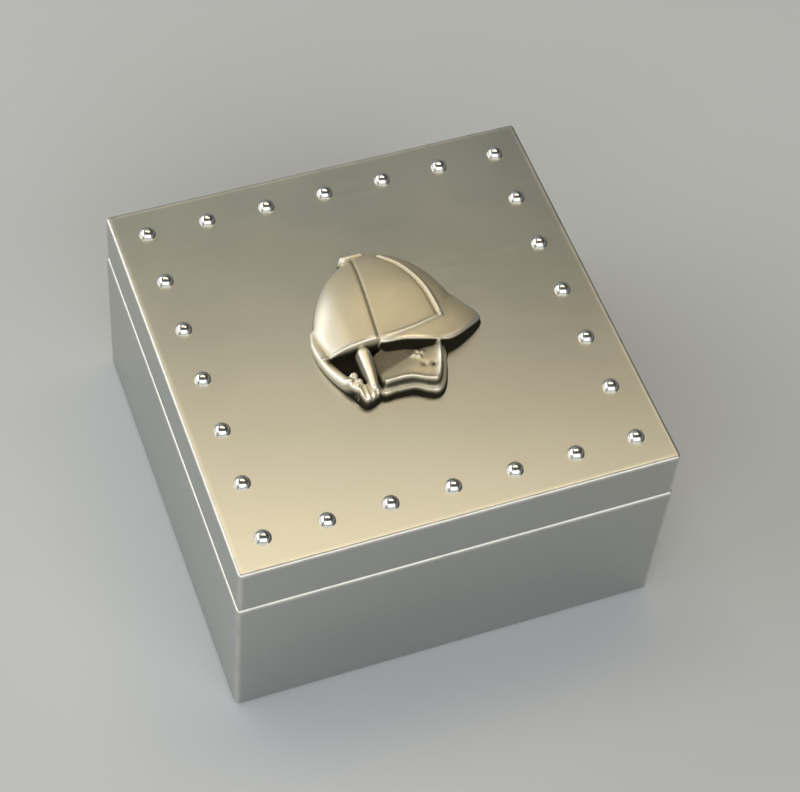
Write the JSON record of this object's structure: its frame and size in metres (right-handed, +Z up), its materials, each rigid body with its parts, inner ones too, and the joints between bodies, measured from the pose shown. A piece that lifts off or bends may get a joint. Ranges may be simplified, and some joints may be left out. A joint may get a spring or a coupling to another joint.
{
  "type": "square keepsake box",
  "caption": "Square satin metal keepsake box with a hinged lid ringed by domed studs, a cast brass riding helmet on top and a velvet lining inside.",
  "frame": {"origin": "middle of the underside, on the surface that the box stands on", "axes": "+Z up, front towards -Y, hinge along X at the back"},
  "size_m": [0.0906, 0.0906, 0.0555],
  "materials": {
    "satin_metal": "satin nickel, finely brushed",
    "polished_metal": "polished nickel",
    "antique_brass": "cast, antiqued dark in the hollows",
    "hinge_metal": "satin",
    "screw_metal": "plain",
    "velvet": "midnight blue velvet over card",
    "felt": "black felt"
  },
  "bodies": {
    "base": {"base_walls": "satin_metal", "base_floor": "satin_metal", "base_felt": "felt", "front_lining": "velvet", "back_lining": "velvet", "left_lining": "velvet", "right_lining": "velvet", "floor_pad": "velvet", "hinge_base_leaf": "hinge_metal", "hinge_base_rivets": "hinge_metal", "hinge_pin": "hinge_metal"},
    "lid": {"lid_shell": "satin_metal", "lid_studs": "polished_metal", "helmet": "antique_brass", "helmet_screws": "screw_metal", "lid_pad": "velvet", "hinge_lid_leaf": "hinge_metal", "hinge_lid_rivets": "hinge_metal"}
  },
  "joints": [
    {"name": "lid_hinge", "type": "hinge", "parent": "base", "child": "lid", "pos_m": [0, 0.04395, 0.0367], "axis": [-1, 0, 0], "range_deg": [0, 100]}
  ]
}
